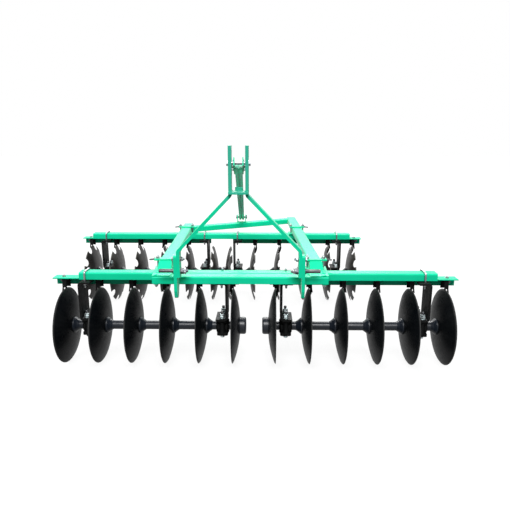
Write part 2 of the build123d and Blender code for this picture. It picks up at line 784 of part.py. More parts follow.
with BuildPart() as stay_bar_pair:
    with BuildSketch(Plane.YZ) as side_view:
        with Locations(((stay_end_setback + stay_length + stay_depth / 2) / 2, 0)):
            Rectangle(stay_length + stay_depth / 2 - stay_end_setback, stay_depth)
        fillet(side_view.vertices(), stay_depth * 0.3)
    extrude(amount=stay_outer, both=True)
    Box(stay_gap, 4 * stay_length, 4 * stay_depth, mode=Mode.SUBTRACT)
with BuildPart() as stay_bars:
    add(stay_frame * stay_bar_pair.part)
    with BuildSketch(Plane.YZ.offset(stay_foot.X)):
        with Locations((stay_foot.Y, stay_foot.Z)):
            Circle(bracket_pin_dia / 2 + pin_clearance)
    extrude(amount=2 * stay_outer, both=True, mode=Mode.SUBTRACT)
save(stay_bars.part, "stay_bars")

ear_mid = stay_outer + clevis_thickness / 2
ear_points = [
    (ear_mid, -clevis_horn),
    (ear_mid, stay_end_setback * 0.1),
    (ear_mid + clevis_flare, stay_end_setback * 0.6),
    (ear_mid, stay_end_setback * 1.3),
    (ear_mid, clevis_length),
]
ear = bent_strip(Plane.XY, ear_points, clevis_thickness, stay_depth, clevis_thickness)
with BuildPart() as stay_clevis:
    for side in (-1, 1):
        add(stay_frame * handed(ear, side))
    with BuildSketch(Plane.YZ.offset(hitch_x)):
        with Locations((mast_y, stay_pin_z)):
            Circle(stay_pin_dia / 2 + pin_clearance)
    extrude(amount=mast_half_gap, both=True, mode=Mode.SUBTRACT)
save(stay_clevis.part, "stay_clevis")

bracket_half = stay_outer + bracket_side_gap + bracket_thickness / 2
base_z = bracket_thickness / 2
bracket_points = [
    (-bracket_half, bracket_pin_height + bracket_ear_radius),
    (-bracket_half, base_z),
    (bracket_half, base_z),
    (bracket_half, bracket_pin_height + bracket_ear_radius),
]
with BuildPart() as stay_bracket:
    add(bent_strip(Plane.XZ, bracket_points, bracket_thickness, bracket_length, bracket_thickness))
    with BuildSketch(Plane.YZ.offset(-2 * bracket_half)):
        with Locations((0, bracket_pin_height)):
            Circle(bracket_pin_dia / 2 + pin_clearance)
    extrude(amount=4 * bracket_half, mode=Mode.SUBTRACT)
save(Location((stay_foot.X, stay_foot.Y, side_beam_top_z)) * stay_bracket.part, "stay_bracket")

bracket_outer = bracket_half + bracket_thickness / 2
lower_pin = cross_pin(bracket_outer, bracket_pin_dia / 2, stay_pin_head, bracket_pin_flats)
save(Location(stay_foot) * lower_pin, "stay_lower_pin")
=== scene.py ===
# %% [markdown]
# Disc harrow, dressed for a studio picture.
#
# The machine arrives as a finished CAD model: beams, discs, spools, bearings and hitch all
# have their real size and place. This lesson adds what a CAD model leaves out: the finish of
# every surface, and the bolts, nuts, washers, grease nipples and welds that hold such an
# implement together. Everything is in metres, +X to the right when seen from the tractor,
# +Y to the rear and +Z up, with the ground at z = 0.

# %% Load the CAD model
import json
import math
import random
import bmesh
import bpy
from mathutils import Matrix, Vector


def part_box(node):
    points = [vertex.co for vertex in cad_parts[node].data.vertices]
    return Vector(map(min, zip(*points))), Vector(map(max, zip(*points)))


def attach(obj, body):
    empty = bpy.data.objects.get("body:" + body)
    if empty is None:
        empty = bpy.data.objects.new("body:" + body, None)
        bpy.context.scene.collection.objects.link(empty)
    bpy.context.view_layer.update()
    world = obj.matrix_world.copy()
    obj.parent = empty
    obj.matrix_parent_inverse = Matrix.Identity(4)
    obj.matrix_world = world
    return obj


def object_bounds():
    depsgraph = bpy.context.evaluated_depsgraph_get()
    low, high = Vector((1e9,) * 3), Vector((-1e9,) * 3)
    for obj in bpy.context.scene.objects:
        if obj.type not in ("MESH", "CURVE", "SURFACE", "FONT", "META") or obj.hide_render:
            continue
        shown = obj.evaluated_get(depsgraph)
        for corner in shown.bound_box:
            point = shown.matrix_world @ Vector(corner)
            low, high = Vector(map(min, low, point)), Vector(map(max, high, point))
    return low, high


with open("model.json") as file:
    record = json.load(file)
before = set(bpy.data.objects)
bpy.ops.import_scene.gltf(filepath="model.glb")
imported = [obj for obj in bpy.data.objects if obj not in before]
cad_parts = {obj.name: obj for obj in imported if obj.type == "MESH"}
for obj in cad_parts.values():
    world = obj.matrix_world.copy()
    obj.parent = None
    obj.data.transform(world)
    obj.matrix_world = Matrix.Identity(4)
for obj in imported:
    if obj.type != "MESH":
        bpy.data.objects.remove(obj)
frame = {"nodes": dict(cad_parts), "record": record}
cad_low, cad_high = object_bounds()
machine_middle = (cad_low + cad_high) / 2
nodes = frame["nodes"]
print("CAD nodes:", len(nodes), "size:", [round(v, 3) for v in cad_high - cad_low])

# %% [markdown]
# The camera stands in front of the hitch, a little above the mast's top, and looks slightly
# down. Its place is given from the machine's own box, so that it keeps its view of it.

# %% Camera
camera_right_of_middle = 0.182
camera_ahead_of_front = 2.664
camera_height = 1.364
camera_pitch = math.radians(13.39)
camera_turn = math.radians(1.08)
camera_roll = math.radians(0.06)
camera_lens = 35.54

camera_data = bpy.data.cameras.new("studio_camera")
camera_data.lens = camera_lens
camera_data.clip_end = 200
camera = bpy.data.objects.new("studio_camera", camera_data)
bpy.context.scene.collection.objects.link(camera)
camera.location = (
    machine_middle.x + camera_right_of_middle,
    cad_low.y - camera_ahead_of_front,
    camera_height,
)
camera.rotation_euler = (math.pi / 2 - camera_pitch, camera_roll, camera_turn)
bpy.context.scene.camera = camera
print("camera at", [round(v, 3) for v in camera.location])

# %% [markdown]
# Every material is a tree of nodes. A few short functions add a node and feed its inputs, by
# a number or by a link from another node, so that the finishes can be read line by line.

# %% Node helpers
def feed(tree, socket, value):
    """Give an input its value, or link it to another node's output."""
    if isinstance(value, bpy.types.NodeSocket):
        tree.links.new(value, socket)
    else:
        socket.default_value = value


def add_node(tree, kind, inputs=None, **settings):
    """Add a shader node with its properties and its inputs; return its outputs."""
    node = tree.nodes.new("ShaderNode" + kind)
    for name, value in settings.items():
        setattr(node, name, value)
    for name, value in (inputs or {}).items():
        feed(tree, node.inputs[name], value)
    return node.outputs


def arithmetic(tree, operation, *values):
    """One step of arithmetic on two values."""
    return add_node(tree, "Math", dict(enumerate(values)), operation=operation)[0]


def vector_step(tree, operation, *vectors):
    """One step of vector arithmetic; its result is under Vector or Value."""
    return add_node(tree, "VectorMath", dict(enumerate(vectors)), operation=operation)


def map_range(tree, value, source=(0.0, 1.0), target=(0.0, 1.0)):
    """Map a value from one range to another, without leaving the second."""
    return add_node(tree, "MapRange", {
        "Value": value, "From Min": source[0], "From Max": source[1],
        "To Min": target[0], "To Max": target[1],
    })[0]


def object_place(tree):
    """Where a point lies on its own object, in metres."""
    return add_node(tree, "TexCoord")["Object"]


def new_material(name):
    """Start a material with nothing in it; return it, its node tree and its surface input."""
    material = bpy.data.materials.new(name)
    material.use_nodes = True
    material.node_tree.nodes.clear()
    output = material.node_tree.nodes.new("ShaderNodeOutputMaterial")
    return material, material.node_tree, output.inputs["Surface"]


def seen_by_eye_or_gloss(tree):
    """1 for rays from the camera, from glossy surfaces and through glass; 0 for bounce light."""
    path = add_node(tree, "LightPath")
    eye_or_gloss = arithmetic(tree, "MAXIMUM", path["Is Camera Ray"], path["Is Glossy Ray"])
    return arithmetic(tree, "MAXIMUM", eye_or_gloss, path["Is Transmission Ray"])

# %% [markdown]
# The stage is a plain studio: one large floor and soft light. The floor is pale only to the
# eye, to glossy metal and to glass: a Light Path node adds a glow for those rays, a little
# less of it near the machine, where its soft shadow falls, and only about half of it in the
# gloss of black paint. Light that bounces off the floor sees a dark grey, so the undersides
# stay as dark as on real ground.

# %% Floor
floor_size = 60.0
floor_bounce = 0.12
glow_near = 0.87
glow_far = 1.0
glow_starts = 2.0
glow_ends = 6.0
glow_in_gloss = 0.55

floor_paint, tree, surface = new_material("studio_floor")
bounce_colour = (floor_bounce, floor_bounce, floor_bounce, 1)
matt = add_node(tree, "BsdfDiffuse", {"Color": bounce_colour})
from_middle = vector_step(tree, "LENGTH", object_place(tree))["Value"]
fading = map_range(tree, from_middle, (glow_starts, glow_ends), (glow_near, glow_far))
glow_level = arithmetic(tree, "MULTIPLY", seen_by_eye_or_gloss(tree), fading)
in_gloss = add_node(tree, "LightPath")["Is Glossy Ray"]
gloss_share = map_range(tree, in_gloss, target=(1.0, glow_in_gloss))
glow_level = arithmetic(tree, "MULTIPLY", glow_level, gloss_share)
glow = add_node(tree, "Emission", {"Strength": glow_level})
matt_and_glow = add_node(tree, "AddShader", {0: matt[0], 1: glow[0]})
feed(tree, surface, matt_and_glow[0])

bpy.ops.object.select_all(action="DESELECT")
bpy.ops.mesh.primitive_plane_add(size=floor_size, location=(0, 0, 0))
floor = bpy.context.active_object
floor.name = "studio_floor"
floor.data.materials.append(floor_paint)
print("floor", floor_size, "m wide")

# %% [markdown]
# Five soft lamps: a wide key high in front, one overhead, one high behind, so that the back of
# the machine is lit as well, and a weak one on each side. All stand high, so that what lies
# under a flange stays in its shade, as outdoors at noon. The world is white to the eye and dim
# as a source of light; the flat tops of the beams mirror it at a low angle, which is what
# makes glossy paint look pale there.

# %% Lamps and world
world_light = 0.16
aim_share_of_height = 0.4
# Lamps: name, place, width, height, watts
lamps = [
    ("front_key", (0.0, -7.6, 8.3), 7.2, 4.3, 1430.0),
    ("overhead", (0.0, 0.2, 5.0), 4.0, 4.0, 90.0),
    ("rear_fill", (0.0, 6.0, 4.6), 5.0, 3.0, 400.0),
    ("left_fill", (-6.0, 0.0, 4.0), 4.0, 3.0, 250.0),
    ("right_fill", (6.0, 0.0, 4.0), 4.0, 3.0, 140.0),
]
lamp_aim = Vector((machine_middle.x, machine_middle.y, cad_high.z * aim_share_of_height))
for name, place, width, height, watts in lamps:
    lamp_data = bpy.data.lights.new(name, "AREA")
    lamp_data.shape = "RECTANGLE"
    lamp_data.size = width
    lamp_data.size_y = height
    lamp_data.energy = watts
    lamp = bpy.data.objects.new(name, lamp_data)
    bpy.context.scene.collection.objects.link(lamp)
    lamp.location = place
    lamp.rotation_euler = (lamp_aim - lamp.location).to_track_quat("-Z", "Y").to_euler()
    lamp.visible_camera = False

world = bpy.data.worlds.new("white_studio")
world.use_nodes = True
world.node_tree.nodes.clear()
tree = world.node_tree
sky_level = map_range(tree, seen_by_eye_or_gloss(tree), target=(world_light, 1.0))
sky = add_node(tree, "Background", {"Color": (1, 1, 1, 1), "Strength": sky_level})
add_node(tree, "OutputWorld", {"Surface": sky[0]})
bpy.context.scene.world = world
bpy.context.scene.view_settings.view_transform = "Standard"
print("lamps:", len(lamps), "total watts:", sum(lamp[-1] for lamp in lamps))

# %% [markdown]
# Paint is never one flat colour. Three effects come back in almost every finish, so each is
# a node group, built once: edges where the coat is thin or rubbed, a soft unevenness over the
# whole surface, and the fine dimples of sprayed paint or cast iron.

# %% Tools for shader groups
def new_group(name, inputs, outputs):
    """Start a shader node group: its inputs' names and defaults, its outputs' names."""
    group = bpy.data.node_groups.new(name, "ShaderNodeTree")
    for label, default in inputs.items():
        socket = group.interface.new_socket(label, in_out="INPUT", socket_type="NodeSocketFloat")
        socket.default_value = default
    for label in outputs:
        kind = "NodeSocketVector" if label == "Normal" else "NodeSocketFloat"
        group.interface.new_socket(label, in_out="OUTPUT", socket_type=kind)
    start = group.nodes.new("NodeGroupInput").outputs
    end = group.nodes.new("NodeGroupOutput").inputs
    return group, start, end


def use_group(tree, group, **values):
    """Place a group in a material; values are given with _ for the spaces in their names."""
    inputs = {label.replace("_", " "): value for label, value in values.items()}
    return add_node(tree, "Group", inputs, node_tree=group)


def noise(tree, place, scale, detail):
    """Noise texture, 0 to 1."""
    inputs = {"Vector": place, "Scale": scale, "Detail": detail}
    return add_node(tree, "TexNoise", inputs)["Fac"]

# %% Rubbed edges: the normal of a softly broken edge, and a ragged mask along it
tree, start, end = new_group(
    "rubbed_edges", {"Radius": 0.002, "Raggedness": 60.0, "Amount": 0.5}, ["Mask", "Normal"]
)
rubbed_edges = tree
rounded = add_node(tree, "Bevel", {"Radius": start["Radius"]}, samples=4)["Normal"]
flat = add_node(tree, "NewGeometry")["Normal"]
alike = vector_step(tree, "DOT_PRODUCT", rounded, flat)["Value"]
turned_away = map_range(tree, alike, (0.985, 0.80))
torn = map_range(tree, noise(tree, object_place(tree), start["Raggedness"], 4), (0.42, 0.62))
mask = arithmetic(tree, "MULTIPLY", turned_away, torn)
feed(tree, end["Mask"], arithmetic(tree, "MULTIPLY", mask, start["Amount"]))
feed(tree, end["Normal"], rounded)

# %% Unevenness: broad soft patches with a finer mottle on top, 0 to 1
tree, start, end = new_group(
    "unevenness", {"Patch Scale": 4.0, "Mottle Scale": 45.0}, ["Patches", "Mottle"]
)
unevenness = tree
place = object_place(tree)
for label, detail, result in (("Patch Scale", 3, "Patches"), ("Mottle Scale", 6, "Mottle")):
    grain = noise(tree, place, start[label], detail)
    feed(tree, end[result], map_range(tree, grain, (0.3, 0.7)))

# %% Dimples: the height of fine orange peel or, with a larger grain, of a sand casting
tree, start, end = new_group(
    "dimples", {"Fine Scale": 420.0, "Coarse Scale": 70.0, "Coarse Share": 0.4}, ["Height"]
)
dimples = tree
place = object_place(tree)
fine = noise(tree, place, start["Fine Scale"], 2)
coarse = noise(tree, place, start["Coarse Scale"], 4)
shares = {"Factor": start["Coarse Share"], "A": fine, "B": coarse}
feed(tree, end["Height"], add_node(tree, "Mix", shares, data_type="FLOAT")["Result"])
print("shader groups:", [group.name for group in bpy.data.node_groups])

# %% [markdown]
# The painted steels share one recipe. Broad patches shift the colour a little, the rubbed
# edges show a paler tone, the mottle moves the roughness, and the dimples bend the light.
# Every number that is the same all over goes straight on the shader's own socket. The mast is
# as green as the frame up to its knee and a darker green above it: a painted shade.

# %% Painted steel
sheen_roughness = 0.35


def mix_colours(tree, factor, colour_a, colour_b):
    """Mix two colours by a mask; either colour may be a value or another node's socket."""
    inputs = {"Factor": factor}
    for label, colour in (("A", colour_a), ("B", colour_b)):
        inputs[label] = (*colour, 1) if isinstance(colour, tuple) else colour
    return add_node(tree, "Mix", inputs, data_type="RGBA")["Result"]


def bump(tree, height, depth, normal):
    """Bend the light by a height, depth in metres, on top of another normal."""
    inputs = {"Strength": 1.0, "Distance": depth, "Height": height, "Normal": normal}
    return add_node(tree, "Bump", inputs)["Normal"]


def painted_steel(
    name, paint, shade, rubbed, roughness, ior, rub_amount, grain, grain_depth, bloom=0.0, upper=None
):
    """Sprayed steel: paint and shade in patches, rubbed edges, bloom pale at low angles.

    upper is (colour, from height, to height): a darker colour mixed in higher up, a painted shade.
    """
    material, tree, surface = new_material(name)
    uneven = use_group(tree, unevenness)
    edges = use_group(tree, rubbed_edges, Raggedness=18.0, Amount=rub_amount)
    peel = use_group(tree, dimples, Fine_Scale=grain)
    colour = mix_colours(tree, uneven["Patches"], paint, shade)
    # Painted shade: higher up, the colour is mixed towards the darker upper colour.
    if upper is not None:
        apart = add_node(tree, "SeparateXYZ", {0: object_place(tree)})
        above = map_range(tree, apart["Z"], upper[1:])
        colour = mix_colours(tree, above, colour, upper[0])
    shader = add_node(tree, "BsdfPrincipled", {
        "Base Color": mix_colours(tree, edges["Mask"], colour, rubbed),
        "Roughness": map_range(tree, uneven["Mottle"], target=roughness),
        "Normal": bump(tree, peel["Height"], grain_depth, edges["Normal"]),
        "IOR": ior,
        "Sheen Weight": bloom,
        "Sheen Roughness": sheen_roughness,
    })
    feed(tree, surface, shader[0])
    return material

# %% Painted finishes
green = (0.004, 0.60, 0.325)
green_shade = (0.003, 0.55, 0.29)
green_enamel = painted_steel(
    "green_enamel", green, green_shade, rubbed=(0.08, 0.72, 0.48), roughness=(0.26, 0.40),
    ior=1.2, rub_amount=0.3, grain=420.0, grain_depth=0.00012, bloom=0.25,
)
mast_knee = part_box("mast_brace_plate")[0].z
# Painted shade: above its knee the mast's colour is mixed to a darker green.
mast_enamel = painted_steel(
    "mast_enamel", green, green_shade, rubbed=(0.06, 0.55, 0.38), roughness=(0.30, 0.44),
    ior=1.2, rub_amount=0.2, grain=420.0, grain_depth=0.00012, bloom=0.12,
    upper=((0.035, 0.37, 0.25), mast_knee - 0.09, mast_knee + 0.02),
)
black_enamel = painted_steel(
    "black_enamel", (0.0055, 0.006, 0.0065), (0.011, 0.011, 0.011), rubbed=(0.04, 0.04, 0.04),
    roughness=(0.30, 0.48), ior=1.14, rub_amount=0.6, grain=380.0, grain_depth=0.00018,
)
cast_black_paint = painted_steel(
    "cast_black_paint", (0.006, 0.009, 0.014), (0.010, 0.013, 0.019), rubbed=(0.05, 0.055, 0.06),
    roughness=(0.27, 0.37), ior=1.42, rub_amount=0.4, grain=240.0, grain_depth=0.00006,
)
print("the mast's colour changes at its knee,", round(mast_knee, 3), "m up")

# %% [markdown]
# The stay is flat bar under one thin green coat: bare steel shows through in long streaks.
# They follow the bar, which slopes, so the noise can't be stretched along the machine's axes:
# a Mapping node of the texture kind is turned to the line between the stay's two pins and
# stretched along that. A mask from the surface's own direction paints shade on the top faces,
# darker and duller, and painted light on the sides and the underside, which are kept paler.

# %% Thinly painted stay
streak_size = (0.010, 0.22, 0.010)
streak_depth = 0.0002
# Painted light and shade: the side colours are kept pale, the top colours dark.
lit_side_green, lit_side_bare = (0.26, 0.84, 0.64), (0.62, 0.66, 0.59)
shaded_top_green, shaded_top_bare = (0.03, 0.30, 0.19), (0.16, 0.20, 0.16)
bare_edge = (0.50, 0.50, 0.47)


def middle(box):
    """Middle of a box given by its low and high corners."""
    return (box[0] + box[1]) / 2


stay_top = middle(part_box("stay_upper_pin"))
stay_foot = middle(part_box("stay_lower_pin"))
along_stay = (stay_foot - stay_top).normalized()
print("stay slopes down by", round(math.degrees(math.asin(-along_stay.z)), 2), "degrees")

stay_paint, tree, surface = new_material("thin_green_on_steel")
uneven = use_group(tree, unevenness, Patch_Scale=9.0)
edges = use_group(tree, rubbed_edges, Amount=0.8)
stretched = add_node(tree, "Mapping", {
    "Vector": object_place(tree),
    "Rotation": along_stay.to_track_quat("Y", "Z").to_euler(),
    "Scale": streak_size,
}, vector_type="TEXTURE")
streaks = noise(tree, stretched[0], 1.0, 5)
bare = map_range(tree, streaks, (0.45, 0.66))
# Painted shade and light: faces that point up get the darker top colours, the sides and the underside
# the paler ones.
surface_normal = add_node(tree, "NewGeometry")["Normal"]
facing = add_node(tree, "SeparateXYZ", {0: surface_normal})
top_shade_mask = map_range(tree, facing["Z"], (0.3, 0.8))
on_sides = mix_colours(tree, bare, lit_side_green, lit_side_bare)
on_top = mix_colours(tree, bare, shaded_top_green, shaded_top_bare)
colour = mix_colours(tree, top_shade_mask, on_sides, on_top)
shader = add_node(tree, "BsdfPrincipled", {
    "Base Color": mix_colours(tree, edges["Mask"], colour, bare_edge),
    "Roughness": map_range(tree, uneven["Mottle"], target=(0.38, 0.58)),
    "Normal": bump(tree, streaks, streak_depth, edges["Normal"]),
    "IOR": 1.25,
})
feed(tree, surface, shader[0])

# %% [markdown]
# Bolts and nuts are bright zinc plate: slightly cloudy, a touch blue in one patch and straw in
# the next. The bearings' nuts are a paler, more matt zinc, and the hitch pins are the same metal
# gone dull and dark from handling. One function makes all three, each brighter where it's worn.

# %% Plated steel
def plated_steel(name, colour_a, colour_b, worn, roughness):
    """Plated metal: two tones in small patches, worn along the edges."""
    material, tree, surface = new_material(name)
    uneven = use_group(tree, unevenness, Patch_Scale=30.0, Mottle_Scale=160.0)
    edges = use_group(tree, rubbed_edges, Radius=0.0006, Amount=0.4)
    peel = use_group(tree, dimples, Fine_Scale=900.0, Coarse_Scale=260.0)
    colour = mix_colours(tree, uneven["Patches"], colour_a, colour_b)
    shader = add_node(tree, "BsdfPrincipled", {
        "Base Color": mix_colours(tree, edges["Mask"], colour, worn),
        "Roughness": map_range(tree, uneven["Mottle"], target=roughness),
        "Normal": bump(tree, peel["Height"], 0.00005, edges["Normal"]),
        "Metallic": 1.0,
    })
    feed(tree, surface, shader[0])
    return material


zinc_plate = plated_steel(
    "zinc_plate", (0.24, 0.27, 0.31), (0.38, 0.38, 0.37), (0.62, 0.62, 0.62), (0.22, 0.4)
)
pale_zinc = plated_steel(
    "pale_zinc", (0.50, 0.60, 0.62), (0.60, 0.66, 0.66), (0.75, 0.75, 0.75), (0.42, 0.60)
)
dull_steel = plated_steel(
    "dull_steel", (0.055, 0.060, 0.070), (0.11, 0.11, 0.11), (0.26, 0.26, 0.26), (0.35, 0.55)
)
print("plated:", [metal.name for metal in (zinc_plate, pale_zinc, dull_steel)])

# %% [markdown]
# A disc is rolled and painted flat, so its marks run in rings and spokes around the axle. The
# pattern is measured from each row's axle: the distance from it gives the rings and the
# direction gives the spokes. Worn edges and a thin painted highlight along the rim are paler.

# %% Disc pattern
tree, start, end = new_group(
    "disc_pattern",
    {"Axle Y": 0.0, "Axle Z": 0.0, "Ring Scale": 60.0, "Spoke Scale": 9.0},
    ["Radius", "Rings", "Spokes"],
)
disc_pattern = tree
apart = add_node(tree, "SeparateXYZ", {0: object_place(tree)})
from_axle = add_node(tree, "CombineXYZ", {
    "X": arithmetic(tree, "SUBTRACT", apart["Y"], start["Axle Y"]),
    "Y": arithmetic(tree, "SUBTRACT", apart["Z"], start["Axle Z"]),
})[0]
distance = vector_step(tree, "LENGTH", from_axle)["Value"]
direction = vector_step(tree, "NORMALIZE", from_axle)["Vector"]
ring_place = add_node(tree, "CombineXYZ", {"X": distance, "Y": apart["X"]})[0]
own_disc = add_node(tree, "CombineXYZ", {"Z": apart["X"]})[0]
spoke_place = vector_step(tree, "ADD", direction, own_disc)["Vector"]
feed(tree, end["Radius"], distance)
feed(tree, end["Rings"], noise(tree, ring_place, start["Ring Scale"], 6))
feed(tree, end["Spokes"], noise(tree, spoke_place, start["Spoke Scale"], 5))
print("nodes in the disc pattern:", len(tree.nodes))

# %% [markdown]
# A paler tone where the spokes and the broad patches meet is partly dust, partly a painted
# highlight. The plain front discs are nearly black; the notched rear ones carry a grey film,
# partly dust and partly painted light for the open light they stand in behind.

# %% Disc paint
disc_low, disc_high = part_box("discs_front_left")
disc_radius = (disc_high.z - disc_low.z) / 2
rim_highlight_width = 0.004
ring_depth = 0.0003
peel_depth = 0.00012


def disc_paint(name, axle, fresh, dust_and_highlight, wear_and_rim_highlight, ior):
    """Semi-gloss black on rolled steel around a row's axle; the edge tone is wear and a painted rim
    highlight.
    """
    material, tree, surface = new_material(name)
    pattern = use_group(tree, disc_pattern, Axle_Y=axle.y, Axle_Z=axle.z)
    uneven = use_group(tree, unevenness, Patch_Scale=6.0, Mottle_Scale=70.0)
    edges = use_group(tree, rubbed_edges, Radius=0.0015, Amount=0.35)
    peel = use_group(tree, dimples, Fine_Scale=520.0)
    # Dust and painted highlight: a paler tone where the spokes and the patches meet.
    sweep = arithmetic(tree, "MULTIPLY", pattern["Spokes"], uneven["Patches"])
    # Painted highlight: a thin paler line along the rim.
    rim_highlight_mask = map_range(tree, pattern["Radius"], (disc_radius - 2 * rim_highlight_width, disc_radius))
    colour = mix_colours(tree, sweep, fresh, dust_and_highlight)
    colour = mix_colours(tree, edges["Mask"], colour, wear_and_rim_highlight)
    rough = arithmetic(tree, "MULTIPLY", uneven["Mottle"], pattern["Spokes"])
    ringed = bump(tree, pattern["Rings"], ring_depth, edges["Normal"])
    shader = add_node(tree, "BsdfPrincipled", {
        "Base Color": mix_colours(tree, rim_highlight_mask, colour, wear_and_rim_highlight),
        "Roughness": map_range(tree, rough, target=(0.26, 0.48)),
        "Normal": bump(tree, peel["Height"], peel_depth, ringed),
        "IOR": ior,
    })
    feed(tree, surface, shader[0])
    return material


# Rows: fresh paint, dust and painted highlight, worn edge and painted rim highlight, index of
# refraction
disc_tones = {
    "front": ((0.0022, 0.0030, 0.0040), (0.013, 0.014, 0.015), (0.06, 0.06, 0.06), 1.14),
    # The rear discs' grey film is partly dust and partly painted light.
    "rear": ((0.003, 0.003, 0.003), (0.105, 0.098, 0.091), (0.16, 0.15, 0.14), 1.25),
}
disc_paints = {}
for row, tones in disc_tones.items():
    axle = middle(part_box(f"axle_{row}_left"))
    disc_paints[row] = disc_paint(f"disc_paint_{row}", axle, *tones)
    print(row, "axle at", round(axle.y, 3), round(axle.z, 3))

# %% [markdown]
# Each CAD node keeps its mesh and gets its finish by its material slot. The record says which
# slot every node has, so one table from slot to finish covers all of them; the pins and the
# mast have a finish of their own.

# %% Finishes on the CAD nodes
finish_of_slot = {
    "green_paint": green_enamel,
    "black_paint": black_enamel,
    "cast_black": cast_black_paint,
    "zinc_steel": zinc_plate,
    "stay_steel": stay_paint,
}
finish_of_node = {
    "hitch_pins": dull_steel,
    "stay_lower_pin": dull_steel,
    "mast_leg_left": mast_enamel,
    "mast_leg_right": mast_enamel,
    "mast_brace_plate": mast_enamel,
}
for part in frame["record"]["subparts"]:
    name = part["node"]
    if part["material_slot"] == "disc_steel":
        finish = disc_paints["front" if "front" in name else "rear"]
    else:
        finish = finish_of_node.get(name, finish_of_slot[part["material_slot"]])
    mesh = nodes[name].data
    for slot_index in range(len(mesh.materials)):
        mesh.materials[slot_index] = finish

# %% [markdown]
# Now the hardware. On the real machine it comes by the box: a few sizes of bolt, each used many
# times. Rows of plain cylinders would do from afar, but they have no chamfer, no washer and no
# thread to catch the light. So each kind is modelled once at the origin, standing on its seat
# with +Z as its axis. Round shapes are a profile spun around Z, as on a lathe.

# %% Tools for modelling
def only_select(*pieces):
    """Select these objects and nothing else; the first becomes the active one."""
    bpy.ops.object.select_all(action="DESELECT")
    for piece in pieces:
        piece.select_set(True)
    bpy.context.view_layer.objects.active = pieces[0]


def pick(piece, kind, wanted):
    """Enter edit mode and select only the vertices, edges or faces that pass a test."""
    bpy.ops.object.mode_set(mode="EDIT")
    bpy.ops.mesh.select_mode(type=kind)
    bpy.ops.mesh.select_all(action="DESELECT")
    mesh = bmesh.from_edit_mesh(piece.data)
    for item in {"VERT": mesh.verts, "EDGE": mesh.edges, "FACE": mesh.faces}[kind]:
        if wanted(item):
            item.select_set(True)
    bmesh.update_edit_mesh(piece.data)


def settled():
    """Apply the new object's place, turn and scale to its mesh, and return the object."""
    bpy.ops.object.transform_apply(location=True, rotation=True, scale=True)
    return bpy.context.active_object


def extrude(step):
    """Extrude what is selected by a step in metres."""
    bpy.ops.mesh.extrude_region_move(TRANSFORM_OT_translate={"value": step})


def close_up(smooth):
    """Turn all faces outward, leave edit mode and smooth edges up to an angle in degrees."""
    bpy.ops.mesh.select_all(action="SELECT")
    bpy.ops.mesh.normals_make_consistent(inside=False)
    bpy.ops.object.mode_set(mode="OBJECT")
    bpy.ops.object.shade_smooth_by_angle(angle=math.radians(smooth))


def turned(profile, steps=20, smooth=35):
    """Spin (radius, height) points around Z; the profile is closed or ends on the axis."""
    bpy.ops.object.select_all(action="DESELECT")
    bpy.ops.mesh.primitive_plane_add(size=0.002, location=(0, 0, 0))
    piece = settled()
    bpy.ops.object.mode_set(mode="EDIT")
    bpy.ops.mesh.select_mode(type="VERT")
    bpy.ops.mesh.select_all(action="SELECT")
    bpy.ops.mesh.merge(type="CENTER")
    bpy.ops.transform.translate(value=(profile[0][0], 0, profile[0][1]))
    for (radius, height), (next_radius, next_height) in zip(profile, profile[1:]):
        extrude((next_radius - radius, 0, next_height - height))
    bpy.ops.mesh.select_all(action="SELECT")
    bpy.ops.mesh.spin(steps=steps, angle=2 * math.pi, center=(0, 0, 0), axis=(0, 0, 1))
    bpy.ops.mesh.select_all(action="SELECT")
    bpy.ops.mesh.remove_doubles(threshold=1e-6)
    close_up(smooth)
    return piece

# %% [markdown]
# Every bolt is put together from the same few shapes. A hexagon is a six-sided cylinder with
# its end edges bevelled; it could be spun as well, but then its corners would need cutting off.

# %% Shapes of a bolt
def break_edges(piece, wanted, width, segments):
    """Bevel the edges whose run along X, Y and Z passes a test."""
    pick(piece, "EDGE", lambda edge: wanted(edge.verts[0].co - edge.verts[1].co))
    bpy.ops.mesh.bevel(offset=width, segments=segments, affect="EDGES")
    bpy.ops.object.mode_set(mode="OBJECT")


def hexagon(flats, base, height):
    """Nut or bolt head: six sides across the flats, edges of both ends broken."""
    radius = flats / math.sqrt(3)
    centre = (0, 0, base + height / 2)
    bpy.ops.object.select_all(action="DESELECT")
    bpy.ops.mesh.primitive_cylinder_add(vertices=6, radius=radius, depth=height, location=centre)
    piece = settled()
    break_edges(piece, lambda run: abs(run.z) < height / 2, flats * 0.08, 1)
    return piece


def washer(hole, rim, base, thickness):
    """Flat ring with its rim edges broken."""
    top, chip = base + thickness, thickness * 0.25
    return turned([
        (hole, base), (rim - chip, base), (rim, base + chip), (rim, top - chip), (rim - chip, top),
        (hole, top), (hole, base),
    ])


def nut_on_washer(hole, rim, thickness, flats, height):
    """Washer on the seat with a nut or head on top of it."""
    return [washer(hole, rim, 0, thickness), hexagon(flats, thickness, height)]


def rod(radius, base, top, steps=14):
    """Plain shank between two heights."""
    return turned([(0, base), (radius, base), (radius, top), (0, top)], steps=steps)


def threaded(radius, base, top, pitch=0.002, root=0.88, chamfer=0.7):
    """Stud with thread crests and roots, chamfered at its top."""
    profile = [(0, base)]
    height = base
    while height < top - 1.5 * pitch:
        profile += [(radius * root, height), (radius, height + pitch / 2)]
        height += pitch
    profile += [(radius * root, height), (radius * chamfer, top), (0, top)]
    return turned(profile, steps=14, smooth=20)

# %% [markdown]
# A finished shape is copied to its places, each copy with a mesh of its own, and the copies
# become one piece. Fasteners are never all turned the same way, so each copy gets a random turn
# about its axis, from dice with a fixed seed: the scene comes out the same at every run. The
# places come from the CAD model: many nodes hold several solids, and each solid's box is found.

# %% Tools for copying
UP = (0, 0, 1)
DOWN = (0, 0, -1)
turn_dice = random.Random(7)


